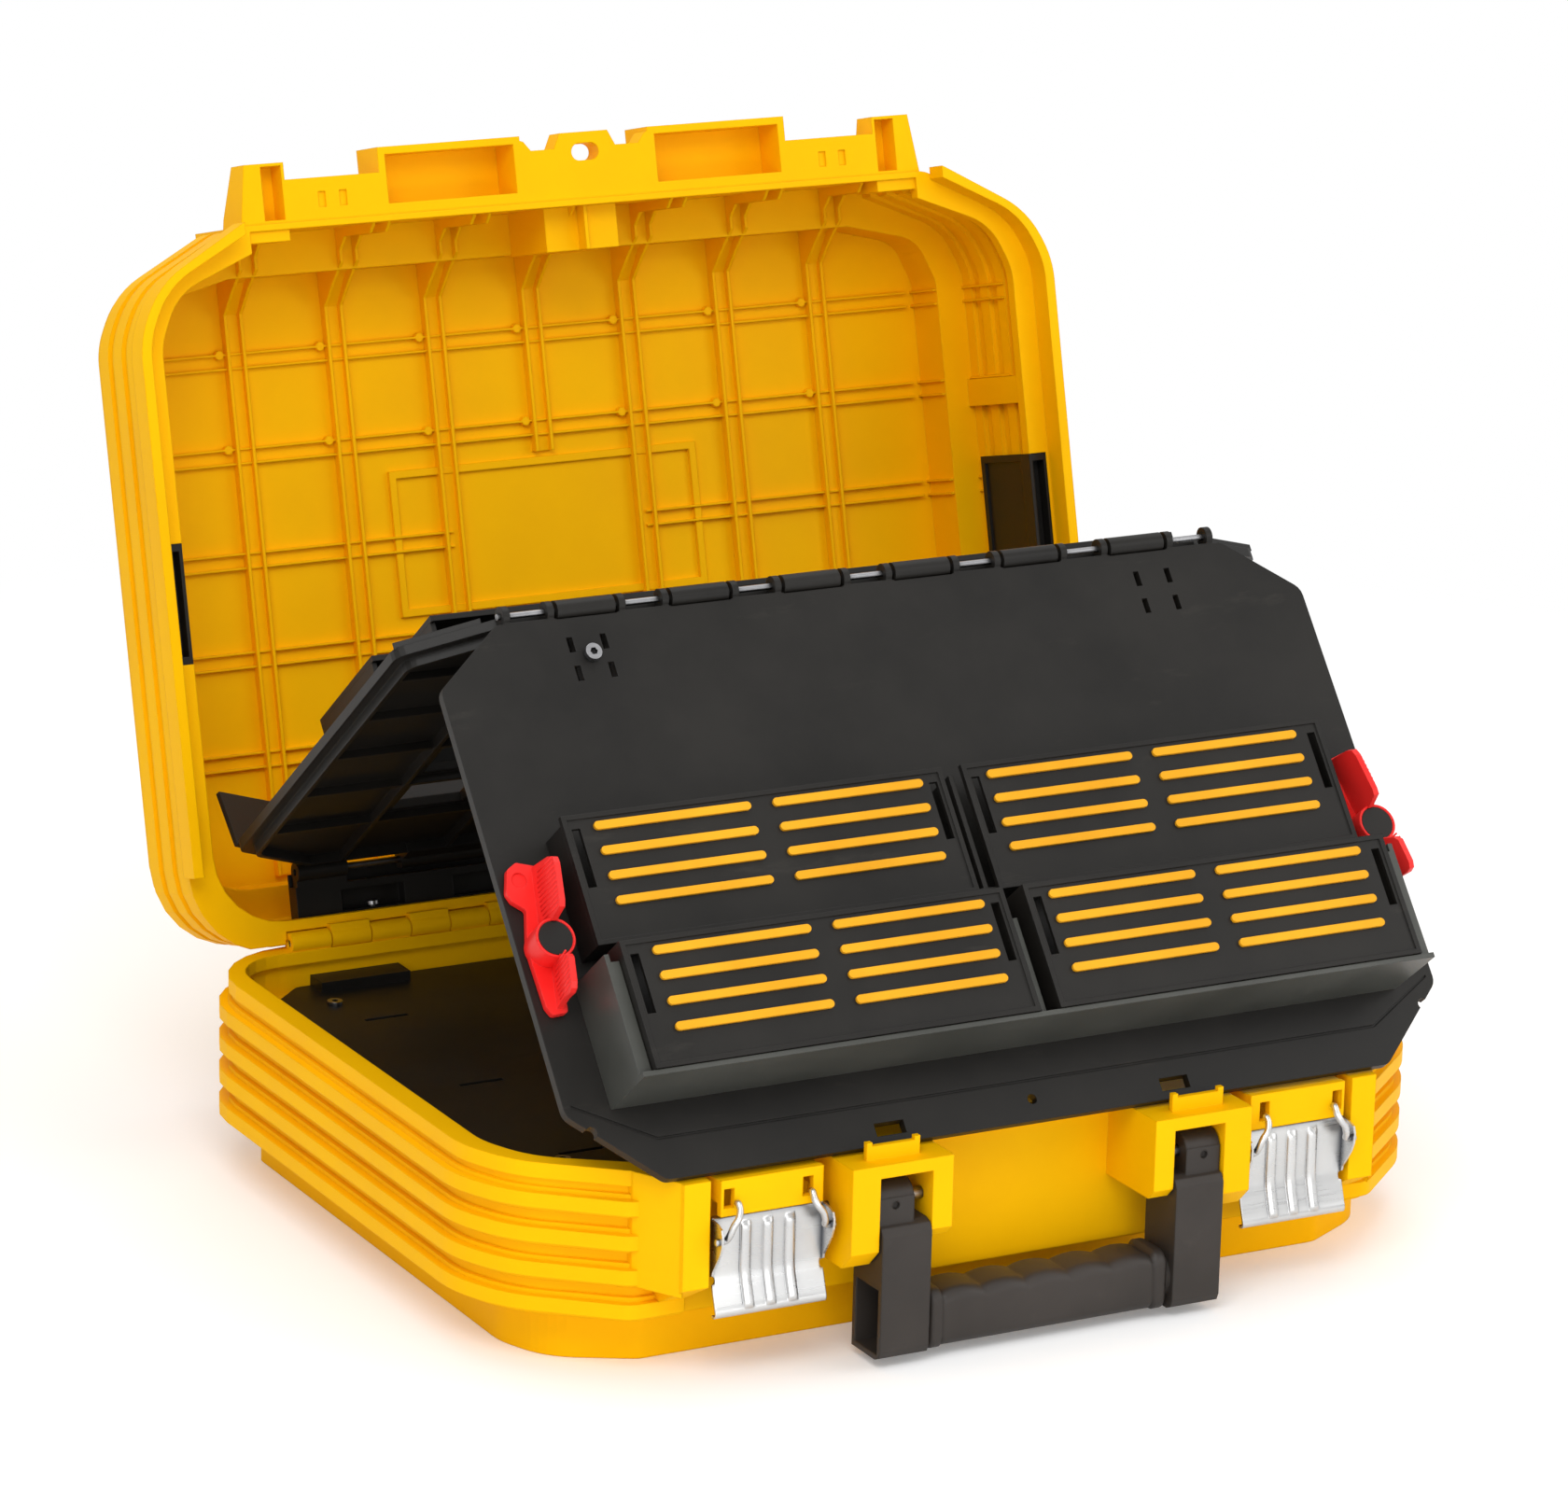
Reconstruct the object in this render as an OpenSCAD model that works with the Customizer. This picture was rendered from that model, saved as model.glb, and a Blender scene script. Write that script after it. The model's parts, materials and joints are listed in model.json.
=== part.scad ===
// Hard tool case: ribbed base and lid, two hinged tool panels that stand as a tent.

/* [Case] */
// Half width of the rim, the same on base and lid
rim_half = 262; // [258:1:266]
// Front of the rim, ahead of the centre
rim_front = 193; // [190:1:196]
// Back of the rim, behind the centre
rim_back = 184; // [181:1:185]
// Height of the base rim above the floor
rim_height = 103; // [103:0.5:105]
// Depth of the lid shell
lid_depth = 107; // [105:1:110]
// How far the foot of each shell steps in from the rim
foot_step = 22; // [20:1:24]
// Moulded wall of the foot and floor
wall = 3; // [2.5:0.5:3.5]
// How far the ribs stand out past the rim
rib_reach = 4; // [3:0.5:5]

/* [Lid] */
// Lean of the open lid past upright, in degrees
lid_lean = 14.3; // [13.5:0.1:14.6]
// Height of the lid hinge axis over the base rim
hinge_rise = 3.4; // [3:0.1:4]
// Radius of the lid hinge rod
hinge_rod_r = 2; // [1.5:0.25:2.25]

/* [Tool panels] */
// Half width of a tool panel
panel_half = 241.5; // [238:0.5:242]
// Thickness of the flat plates
plate_t = 5; // [4:0.5:5.5]
// Gap from the back panel's side to the outside of the case's rim
back_gap = 18.5; // [18:0.5:24]
// Length of the front panel, foot to ridge rod
front_length = 291; // [286:1:296]
// Length of the back panel, ridge rod to lower edge
back_length = 292; // [287:1:297]
// Height of the back panel's hinge rod up the lid
bracket_rise = 36.7; // [36:0.1:38]
// Depth of the back panel's hinge rod in the lid
bracket_in = 24.5; // [24:0.1:26]
// Height of the ribs under the panels
rib_deep = 8; // [6:0.5:9]
// Height of the lower pocket faces off the panel
lower_proud = 43; // [40:1:45]
// Height of the upper pocket faces off the panel
upper_proud = 22; // [20:1:24]

/* [Latches and handle] */
// Sheet thickness of the latch plates
latch_sheet = 1.2; // [1:0.1:1.5]
// Radius of the latch hook wire
hook_wire_r = 1.4; // [1.2:0.1:1.6]
// Width of a handle arm
arm_width = 26.5; // [24:0.5:27]
// Radius of the handle grip
grip_r = 15.2; // [14:0.1:15.4]

/* [Hidden] */
$fn = 40;

yellow = "#f5b800";
black = "#262422";
grey = "#4a4f4d";
brown = "#433b36";
orange = "#f0a020";
red = "#e8202c";
zinc = "#d8dce0";
steel = "#a8abb0";

run = 0.06;          // clearance of fitted pieces, such as a rod in a moving barrel
over = 1;            // overshoot of a cut past the faces it opens
half_gap = 5.5;      // half the gap between left and right pockets

// rim and ribs
rim_band = 8;        // height of the rim flange
rim_lip = 11.5;      // width of the rim flange, outside to mouth
wall_step = 2.5;     // wall between the ribs, in from the rim
wall_in = 8;         // inside of the wall, in from the rim
foot_top = 28;       // where the foot meets the wall
rib_pitch = 17.2;
rib_first = 33.5;
rib_count = 4;
rib_low = 6;         // half height of a rib at its root
rib_tip = 3.8;       // half height of a rib at its tip

// lid hinge
hinge_y = rim_back - 6;
hinge_height = rim_height + hinge_rise;
skirt_drop = 14;     // how far the lid's skirt hangs below the hinge axis
hinge_w = 1.6;       // hinge axis from the lid's own back edge
knuckle_r = 5.5;
knuckle_gap = 0.6;
knuckle_count = 19;  // base and lid knuckles, turn and turn about
hinge_half = 214;
knuckle_pitch = 2 * hinge_half / knuckle_count;

// front housings, measured from the middle
arm_mid = 81.2;
housing_in = 56;
housing_out = 110.5;
housing_front = 235;
slot_in = arm_mid - 14.2;
slot_out = arm_mid + 14.2;
shelf_low = 96.5;
tab_in = 70;
tab_out = 98.8;
tab_top = 112;
tab_front = 226.5;
side_housing_in = 178;
side_housing_out = 192;
side_housing_front = 220;
keeper_in = 118.6;
keeper_out = 173;
keeper_front = 221;
keeper_low = 84.5;
keeper_top = 102.5;
housing_back = rim_front - wall_in + 1;

// handle
pivot_y = -223;
pivot_z = 82;
knuckle_arm_r = 9.5;
arm_top = 72.5;
arm_front = -237;
arm_back = -209.5;
arm_low = 4.5;
arm_wall = 3;
handle_rod_r = 3;

// latches
latch_in = 116.2;
latch_out = 175.4;
latch_rod_y = -211;
latch_rod_z = 78;
latch_rod_r = 2;
latch_barrel_r = 3.6;
latch_front = -217.2;
latch_bend = 53;
latch_lip_y = -222;
latch_lip_z = 36;
eye_y = -225;
eye_z = 74;

// panels: the front panel's outer face starts at its foot
foot_y = -218.3;
foot_z = rim_height + 3.6;
rod_back = 2.5;      // ridge rod behind the outer face
bracket_v = back_length + 8;
bracket_down = 6;
bracket_y = hinge_y + (bracket_rise - hinge_w) * sin(lid_lean) + (bracket_in - skirt_drop) * cos(lid_lean);
bracket_z = hinge_height + (bracket_rise - hinge_w) * cos(lid_lean)
    - (bracket_in - skirt_drop) * sin(lid_lean);

// the two panels and the line from foot to bracket make a triangle, which sets how they lean
front_reach = norm([front_length, rod_back]);
back_reach = norm([bracket_v, bracket_down]);
span = norm([bracket_y - foot_y, bracket_z - foot_z]);
foot_angle = atan2(bracket_z - foot_z, bracket_y - foot_y)
    + acos((front_reach * front_reach + span * span - back_reach * back_reach) / (2 * front_reach * span));
ridge_y = foot_y + front_reach * cos(foot_angle);
ridge_z = foot_z + front_reach * sin(foot_angle);
front_lean = 90 - foot_angle - atan2(rod_back, front_length);
back_slope = -atan2(bracket_z - ridge_z, bracket_y - ridge_y) - atan2(bracket_down, bracket_v);
ridge_rod_r = 1.6;
lug_r = 5;
window_pitch = 62;
window_half = 10;
lug_t = 3.5;
bar_half = 15.5;
foot_half = panel_half - 41.5;
top_half = panel_half - 37.5;
back_half = rim_half - back_gap;
rib_inset = 22;      // front panel's ribs, in from the plate's edge
back_inset = 6;
back_rib_deep = 5;

// pocket rows on the front panel, measured up from its foot
lower_v0 = 40.5;
lower_v1 = 104.5;
upper_v0 = 111;
upper_v1 = 177;
face_half = panel_half - 30.5;
lower_half = face_half + 7;
face_t = 3;
tray_t = 2.5;
stripe_t = 1.6;
stripe_h = 4.2;
stripe_pitch = 12.8;

// back panel hinge in the lid
bracket_rod_r = 1.8;
bracket_half = 200;
bracket_barrel_r = 5;

// clamps on the front panel's edges
clamp_u = panel_half - 13;
clamp_v = 119.6;
clamp_low = 0.5;     // underside of a clamp above the panel's face
clamp_top = 16.4;
clamp_hub_r = 10;
clamp_stud_r = 4;
cap_r = 8.5;
cap_low = clamp_top - 1;

// ---------- outlines ----------

function unit(v) = v / norm(v);

// points of an arc that rounds corner p between a and b
function fillet(a, p, b, r, n) = let(
    ua = unit(a - p), ub = unit(b - p), h = acos(ua * ub) / 2,
    c = p + unit(ua + ub) * r / sin(h),
    s = p + ua * r / tan(h) - c, e = p + ub * r / tan(h) - c,
    a0 = atan2(s[1], s[0]), d = atan2(e[1], e[0]) - a0,
    turn = d > 180 ? d - 360 : (d < -180 ? d + 360 : d)
) [for (i = [0:n]) c + r * [cos(a0 + turn * i / n), sin(a0 + turn * i / n)]];

function soft(pts, r, n = 4) = [for (i = [0:len(pts) - 1])
    each fillet(pts[(i + len(pts) - 1) % len(pts)], pts[i], pts[(i + 1) % len(pts)], r[i], n)];

// rear corners are rounder at the rim than at the foot
function rear_round(d) = max(48 - (d > 0 ? 1.7 : 0.5) * d, 5);

// plan of the case, d millimetres in from the rim
function case_outline(d) = soft([
    [rim_half - d, rim_back - d], [-rim_half + d, rim_back - d],
    [-rim_half + d, -rim_front + 68], [-rim_half + 13 + 0.9 * d, -rim_front + 37 + 0.15 * d],
    [-rim_half + 58 + 0.62 * d, -rim_front + 0.87 * d],
    [rim_half - 58 - 0.62 * d, -rim_front + 0.87 * d],
    [rim_half - 13 - 0.9 * d, -rim_front + 37 + 0.15 * d], [rim_half - d, -rim_front + 68]],
    [rear_round(d), rear_round(d), 62 - d, 62 - d, 14, 14, 62 - d, 62 - d], 6);

// plate with cut corners: foot and top give each cut as [across, along the side]
function panel_outline(half, length, foot, top) = soft([
    [foot[0] - half, 0], [half - foot[0], 0], [half, foot[1]], [half, length - top[1]],
    [half - top[0], length], [top[0] - half, length], [-half, length - top[1]], [-half, foot[1]]],
    [6, 6, 8, 8, 6, 6, 8, 8], 3);

function front_outline(d) = panel_outline(panel_half - d, front_length - 5 - 1.2 * d, [41.5, 38],
    [37.5, 30]);
function back_outline(d) = panel_outline(back_half - d, back_length - 6 - 1.2 * d, [38, 24], [50, 24]);

module slab(d, z0, z1) {
    translate([0, 0, z0]) linear_extrude(z1 - z0) polygon(case_outline(d));
}

module block(x0, x1, y0, y1, z0, z1) {
    translate([x0, y0, z0]) cube([x1 - x0, y1 - y0, z1 - z0]);
}

module rod(x0, x1, y, z, r) {
    translate([x0, y, z]) rotate([0, 90, 0]) cylinder(r = r, h = x1 - x0);
}

// both sides of the case
module pair() {
    children();
    mirror([1, 0, 0]) children();
}

// a box on the x side given by side, 1 or -1
module on_side(side) {
    if (side > 0) children();
    else mirror([1, 0, 0]) children();
}

// a shape drawn in y and z, pushed along x
module side_profile(x0, x1, pts) {
    translate([x0, 0, 0]) rotate([90, 0, 90]) linear_extrude(x1 - x0) polygon(pts);
}

module on_lid() {
    translate([0, hinge_y, hinge_height]) rotate([90 - lid_lean, 0, 0])
        translate([0, -hinge_w, skirt_drop]) children();
}

module on_front() {
    translate([0, foot_y, foot_z]) rotate([90 - front_lean, 0, 0]) children();
}

module on_back() {
    translate([0, ridge_y, ridge_z]) rotate([-back_slope, 0, 0]) children();
}

// ---------- base ----------

module ribs(first, count) {
    for (i = [0:count - 1]) {
        slab(0, first + i * rib_pitch - rib_low, first + i * rib_pitch + rib_low);
        slab(-rib_reach, first + i * rib_pitch - rib_tip, first + i * rib_pitch + rib_tip);
    }
}

module handle_housing() {
    // end cheek beside the latch
    side_profile(slot_out, housing_out, [[-housing_back, 51], [-housing_front + 9, 51],
        [-housing_front, 60],
        [-housing_front, rim_height], [-housing_back, rim_height]]);
    // cheek towards the middle
    side_profile(housing_in, slot_in, [[-housing_back, 62], [-housing_front + 5, 62], [-housing_front, 67],
        [-housing_front, rim_height], [-housing_back, rim_height]]);
    block(housing_in, housing_out, -housing_front, -housing_back, shelf_low, rim_height);
    // upstanding tab that stops the panel's foot
    block(tab_in, tab_out, -tab_front, -tab_front + 3, rim_height - 2, tab_top - 2);
    block(tab_in, tab_in + 3, -tab_front, -tab_front + 3, tab_top - 3, tab_top);
    block(tab_out - 3, tab_out, -tab_front, -tab_front + 3, tab_top - 3, tab_top);
}

module keeper() {
    difference() {
        block(keeper_in, keeper_out, -keeper_front, -keeper_front + 4, keeper_low, keeper_top);
        for (x = [124, 166]) block(x, x + 5.5, -keeper_front - over, -keeper_front + 4 + over,
            keeper_low + 4, 98.2);
    }
    block(keeper_in, keeper_out, -keeper_front + 2, -housing_back, keeper_top - 2.5, keeper_top - 0.5);
    for (x = [keeper_in, 137, 154, keeper_out - 2])
        block(x, x + 2, -keeper_front + 2, -housing_back, keeper_low + 6, keeper_top - 0.5);
}

module side_housing() {
    side_profile(side_housing_in, side_housing_out, [[-housing_back, 36], [-rim_front - 2, 36],
        [-side_housing_front, 50], [-side_housing_front, rim_height], [-housing_back, rim_height]]);
    // its sloping outer cheek
    translate([0, 0, 46]) linear_extrude(rim_height - 46) polygon([
        [side_housing_out - over, 1.5 - side_housing_front],
        [side_housing_out + 13, -rim_front], [side_housing_out + 13, -housing_back],
        [side_housing_out - over, -housing_back]]);
}

module base_knuckles() {
    for (i = [0:2:knuckle_count - 1]) {
        x0 = -hinge_half + i * knuckle_pitch + knuckle_gap / 2;
        x1 = x0 + knuckle_pitch - knuckle_gap;
        rod(x0, x1, hinge_y, hinge_height, knuckle_r);
        block(x0, x1, hinge_y - 4, hinge_y + 4, rim_height - 2, hinge_height - 1);
    }
}

// hollows in the rim under the lid's knuckles
module knuckle_hollows() {
    for (i = [1:2:knuckle_count - 1])
        rod(-hinge_half + i * knuckle_pitch - 0.3, -hinge_half + (i + 1) * knuckle_pitch + 0.3, hinge_y,
            hinge_height, knuckle_r + 0.6);
}

module base_shell() {
    color(yellow) difference() {
        union() {
            slab(foot_step, 0, foot_top);
            slab(foot_step * 0.55, foot_top - 4, foot_top + 2);
            slab(wall_step, foot_top, rim_height);
            difference() {
                ribs(rib_first, rib_count);
                block(-side_housing_in, side_housing_in, -rim_front - 10, -rim_front + wall_step, 0,
                    rim_height);
            }
            slab(0, rim_height - rim_band, rim_height);
            pair() handle_housing();
            pair() keeper();
            pair() side_housing();
            base_knuckles();
        }
        difference() {
            union() {
                slab(foot_step + wall, wall, foot_top + over);
                slab(wall_in, foot_top, rim_height - rim_band + over);
                slab(rim_lip, rim_height - rim_band, rim_height + over);
            }
            // ledge that carries the cover
            difference() {
                slab(wall_in - over, 73, 79.5);
                slab(wall_in + 14, 72, 81);
            }
        }
        knuckle_hollows();
        rod(-hinge_half - over, hinge_half + over, hinge_y, hinge_height, hinge_rod_r);
        pair() rod(housing_in + 4, housing_out - 4, pivot_y, pivot_z, handle_rod_r);
        pair() rod(housing_out - 6, side_housing_in + 6, latch_rod_y, latch_rod_z, latch_rod_r);
    }
}

cover_z = 80;
cover_t = 4;
cover_half = rim_half - wall_in - 13;
cover_back = rim_back - 11;
screw_x = cover_half - 36;

module base_cover() {
    color(black) difference() {
        union() {
            translate([0, 0, cover_z]) linear_extrude(cover_t) polygon(soft([
                [50 - rim_half, cover_back], [rim_half - 50, cover_back], [cover_half, cover_back - 28],
                [cover_half, 77 - rim_front], [cover_half - 15, 47 - rim_front],
                    [cover_half - 51, 21 - rim_front],
                [51 - cover_half, 21 - rim_front], [15 - cover_half, 47 - rim_front],
                    [-cover_half, 77 - rim_front],
                [-cover_half, cover_back - 28]], [8, 8, 8, 10, 10, 10, 10, 10, 10, 8], 3));
            for (x = [-178, 0, 178]) block(x - 25, x + 25, cover_back - 13, cover_back + 2, cover_z,
                cover_z + 9);
        }
        for (x = [-190, -60, 60, 190], y = [-110, 0, 110])
            block(x - 12, x + 12, y - 1.5, y + 1.5, cover_z - over, cover_z + cover_t + over);
        for (x = [-screw_x, screw_x], y = [73 - rim_front, rim_back - 44])
            translate([x, y, cover_z - over]) cylinder(r = 2.2, h = cover_t + 2 * over);
    }
}

module cover_screws() {
    color(steel) for (x = [-screw_x, screw_x], y = [73 - rim_front, rim_back - 44])
        translate([x, y, cover_z + cover_t]) difference() {
        union() {
            cylinder(r = 4, h = 2);
            translate([0, 0, -cover_t]) cylinder(r = 2.1, h = cover_t + 1);
        }
        translate([0, 0, 0.8]) cylinder(r = 1.8, h = 2, $fn = 6);
    }
}

module hinge_rod() {
    color(steel) rod(-hinge_half + 1, hinge_half - 1, hinge_y, hinge_height, hinge_rod_r);
}

// ---------- lid, drawn flat: y runs from the hinge to the front, z is minus the depth ----------

skirt_half = rim_half + 6;
skirt_t = 5.5;
part_depth = 14.5;   // depth at which the lid's rim meets the base rim
lid_front = hinge_y + hinge_w + rim_front;
lid_rear = -4.4;
foot_depth = lid_depth - foot_top;
lid_rib_first = 26.2;
lid_rib_pitch = 18.3;
front_wall_half = 196;

function lid_outline(e) = soft([
    [skirt_half - e, lid_rear + e], [skirt_half - e, lid_front - 56 - 0.2 * e],
    [skirt_half - 13 - 0.9 * e, lid_front - 29 - 0.3 * e], [skirt_half - 65 - 0.6 * e, lid_front - 0.9 * e],
    [-skirt_half + 65 + 0.6 * e, lid_front - 0.9 * e], [-skirt_half + 13 + 0.9 * e,
        lid_front - 29 - 0.3 * e],
    [-skirt_half + e, lid_front - 56 - 0.2 * e], [-skirt_half + e, lid_rear + e]],
    [46 - 0.5 * e, 50 - e, 50 - e, 16, 16, 50 - e, 50 - e, 46 - 0.5 * e], 6);

module lid_slab(e, depth0, depth1) {
    translate([0, 0, -depth1]) linear_extrude(depth1 - depth0) polygon(lid_outline(e));
}

raised_in = 37.5;
raised_out = 119.5;
raised_top = 405;
post_in = 173;
post_out = 200.5;
post_top = 401;
face_depth = 16.5;   // the front edge fittings' faces, behind the skirt edge
eye_w = 394.5;

module lid_front_edge() {
    // thin flange over the latch
    difference() {
        block(raised_out - 1, post_in + 1, lid_front - 5, 392, -face_depth - 10, -face_depth);
        for (x = [139, 151]) block(x, x + 4, lid_front + 4, lid_front + 12, -face_depth - 1.2, over);
    }
    // end post, hollow beside the flange
    difference() {
        side_profile(post_in, post_out, [[lid_front - 12, -face_depth - 24],
            [lid_front + 2, -face_depth - 24],
            [post_top, -face_depth - 16], [post_top, -face_depth], [lid_front - 12, -face_depth]]);
        block(post_in + 1.6, post_in + 13, lid_front - 1, post_top - 1.6, -face_depth - 13, over);
        translate([post_out + 0.5, lid_front - 13, -60]) rotate([0, 0, 8]) cube([10, 60, 80]);
    }
    // raised box over the handle
    difference() {
        block(raised_in, raised_out, lid_front - 6, raised_top, -face_depth - 26, -face_depth);
        block(raised_in + 4, raised_out - 4, lid_front + 3, raised_top - 4, -face_depth - 22, over);
    }
    translate([0, 0, -face_depth - 12]) linear_extrude(12) polygon([[-over, lid_front - 6],
        [raised_in + 1, lid_front - 6],
        [raised_in + 1, 403], [raised_in - 2, 402], [raised_in - 6, 397], [18, 397], [14, raised_top],
        [-over, raised_top]]);
}

lid_floor = wall - lid_depth;
bar_high = 5.5;
line_high = 3.5;
window_half_w = 92;
window_w0 = 158;
window_w1 = 236;

// profile of an upright rib, up the back of the lid from w0 and round onto its front wall
function bar_side(w0) = [[w0, lid_floor - 0.5], [w0, lid_floor + bar_high],
    [lid_front - 46, lid_floor + bar_high],
    [lid_front - 28 - bar_high, lid_floor + bar_high + 14], [lid_front - 24, -77.5 + bar_high],
    [lid_front - 12 - bar_high, -77.5 + bar_high], [lid_front - 5.5 - bar_high, -70 + bar_high],
    [lid_front - 5.5 - bar_high, -32], [lid_front - 5.5, -26], [lid_front - 5.5, -77.5],
    [lid_front - 26.5, -78], [lid_front - 26.5, lid_floor - 0.5]];

// pair of thin ribs
module lid_bar(u, w0) {
    for (s = [-4.5, 4.5]) side_profile(u + s - 0.9, u + s + 0.9, bar_side(w0));
}

module lid_bars() {
    for (u = [-174, -116, -58, 58, 116, 174]) lid_bar(u, 30);
    lid_bar(0, window_w1 + 3);
    // double lines across, carried up the side walls
    for (w = [92, 145, 197, 252, 302], s = [-3.8, 3.8]) {
        if (w != 197) block(-231, 231, w + s - 0.6, w + s + 0.6, lid_floor - 0.5, lid_floor + line_high);
        pair() {
            if (w == 197) block(58, 231, w + s - 0.6, w + s + 0.6, lid_floor - 0.5, lid_floor + line_high);
            block(skirt_half - 33, skirt_half - 30, w + s - 0.6, w + s + 0.6, lid_floor - 0.5,
                -foot_depth + 2);
            block(skirt_half - 15.5, skirt_half - 13, w + s - 0.6, w + s + 0.6, -foot_depth + 2, -32);
        }
    }
    // small pin marks where lines and ribs cross
    for (u = [-174, -116, -58, 0, 58, 116, 174], w = [252, 302])
        translate([u - 9, w + 3.8, lid_floor - 0.5]) cylinder(r = 2.4, h = line_high + 0.5, $fn = 16);
}

module lid_knuckles() {
    for (i = [1:2:knuckle_count - 1]) {
        x0 = -hinge_half + i * knuckle_pitch + knuckle_gap / 2;
        x1 = x0 + knuckle_pitch - knuckle_gap;
        rod(x0, x1, hinge_w, -skirt_drop, knuckle_r);
        block(x0, x1, hinge_w, 9, -skirt_drop - 4, -skirt_drop + 4);
    }
}

module lid_walls() {
    difference() {
        union() {
            lid_slab(foot_step + 6, foot_depth - 2, lid_depth);
            lid_slab(foot_step * 0.55 + 6, foot_depth - 2, foot_depth + 4);
            lid_slab(8, 0, foot_depth);
            lid_slab(0, 0, 14);
            lid_slab(3, 14, 17);
            for (i = [0:2]) {
                lid_slab(6.5, lid_rib_first + i * lid_rib_pitch - 7.6,
                    lid_rib_first + i * lid_rib_pitch + 7.6);
                lid_slab(4.5, lid_rib_first + i * lid_rib_pitch - 5.9,
                    lid_rib_first + i * lid_rib_pitch + 5.9);
            }
            // the front wall stands further out between the end posts
            block(-front_wall_half - 3, front_wall_half + 3, lid_front - 34, lid_front - 3, -foot_depth,
                -face_depth);
        }
        lid_slab(skirt_t, -over, part_depth);
        lid_slab(rim_lip + 6, part_depth - over, part_depth + rim_band);
        lid_slab(wall_in + 6, part_depth + rim_band - over, foot_depth - wall);
        lid_slab(foot_step + 6 + wall, foot_depth - wall - over, lid_depth - wall);
        block(-front_wall_half, front_wall_half, lid_front - 36, lid_front - 6, -foot_depth + wall, over);
        // the ribs are hollow on the inside
        for (i = [0:2]) lid_slab(wall_in + 3.5, max(part_depth + rim_band,
            lid_rib_first + i * lid_rib_pitch - 4.5),
            lid_rib_first + i * lid_rib_pitch + 4.5);
        // no skirt along the hinge or along the front fittings
        block(-skirt_half - over, skirt_half + over, lid_rear - over, 1.2, -24, over);
        block(-skirt_half - over, skirt_half + over, lid_rear - over, 42, -part_depth, over);
        block(-post_out - 4, post_out + 4, lid_front - 12, lid_front + over, -part_depth, over);
    }
}

module lid_shell() {
    color(yellow) on_lid() difference() {
        union() {
            lid_walls();
            lid_bars();
            // raised frame of the plain window
            difference() {
                block(-window_half_w, window_half_w, window_w0, window_w1, lid_floor - 0.5, lid_floor + 2.4);
                block(4 - window_half_w, window_half_w - 4, window_w0 + 4, window_w1 - 4, lid_floor - over,
                    lid_floor + 3);
            }
            pair() lid_front_edge();
            // stiffening block under the padlock eye
            block(-20, 0, lid_front - 29, lid_front - 5, -foot_depth + 1, -32);
            block(-over, 20, lid_front - 29, lid_front - 5, -foot_depth + 1, -27);
            block(-1, 1, lid_front - 29, lid_front - 5, -foot_depth + 1, -23);
            // stop channel along each side wall
            pair() difference() {
                block(skirt_half - 17.3, skirt_half - 13, 240, 255, -foot_depth + 2, -part_depth);
                block(skirt_half - 15.8, skirt_half - 13.6, 242, 253, -foot_depth + over, 0);
            }
            lid_knuckles();
        }
        // hollows round the base's knuckles
        for (i = [0:2:knuckle_count - 1])
            rod(-hinge_half + i * knuckle_pitch - 0.3, -hinge_half + (i + 1) * knuckle_pitch + 0.3, hinge_w,
                -skirt_drop, knuckle_r + 0.6);
        rod(-hinge_half - over, hinge_half + over, hinge_w, -skirt_drop, hinge_rod_r + run);
        // padlock eye
        for (s = [-1, 1]) translate([s * 3.5, eye_w, -40]) cylinder(r = 4.5, h = 40);
        block(-3.5, 3.5, eye_w - 4.5, eye_w + 4.5, -40, over);
        for (x = bracket_screw_x) translate([x, 0, -25.5]) rotate([-90, 0, 0]) cylinder(r = 1.8, h = 20);
        // seats of the black clips in the rim
        pair() block(clip_in, clip_out, clip_w0, clip_w1, clip_front - clip_deep, clip_front + over);
        pair() block(blade_in - run, blade_in + blade + run, clip_w0, clip_w1, blade_low - run, clip_front);
    }
}

clip_w0 = 150;
clip_w1 = 212;
clip_in = skirt_half - 17.5;
clip_out = skirt_half - 7;
clip_front = -part_depth;
clip_deep = 9.5;
blade_in = clip_in + 1;
blade = 2.5;
blade_low = -70;

// frame let into the rim, and a plate that lies on the wall behind it
module lid_clip(side) {
    color(black) on_lid() on_side(side) {
        difference() {
            block(clip_in + run, clip_out - run, clip_w0 + run, clip_w1 - run,
                clip_front - clip_deep + run, clip_front - 0.3);
            block(clip_in + 2, clip_out - 1.5, clip_w0 + 4, clip_w1 - 4, clip_front - clip_deep + 1.5,
                clip_front + over);
        }
        difference() {
            block(blade_in, blade_in + blade, clip_w0 + run, clip_w1 - run, blade_low,
                clip_front - clip_deep + 0.5);
            block(clip_in, blade_in + 1.2, clip_w0 + 4, clip_w1 - 4, blade_low + 4, clip_front - 12);
        }
    }
}

module lid_clip_left() { lid_clip(-1); }
module lid_clip_right() { lid_clip(1); }

// the bracket's rod in the lid's own frame
rod_w = bracket_rise;
rod_depth = bracket_in;
bracket_barrel_x = [-188, -57, 57, 188];
bracket_screw_x = [-160, -32, 32, 160];

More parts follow.
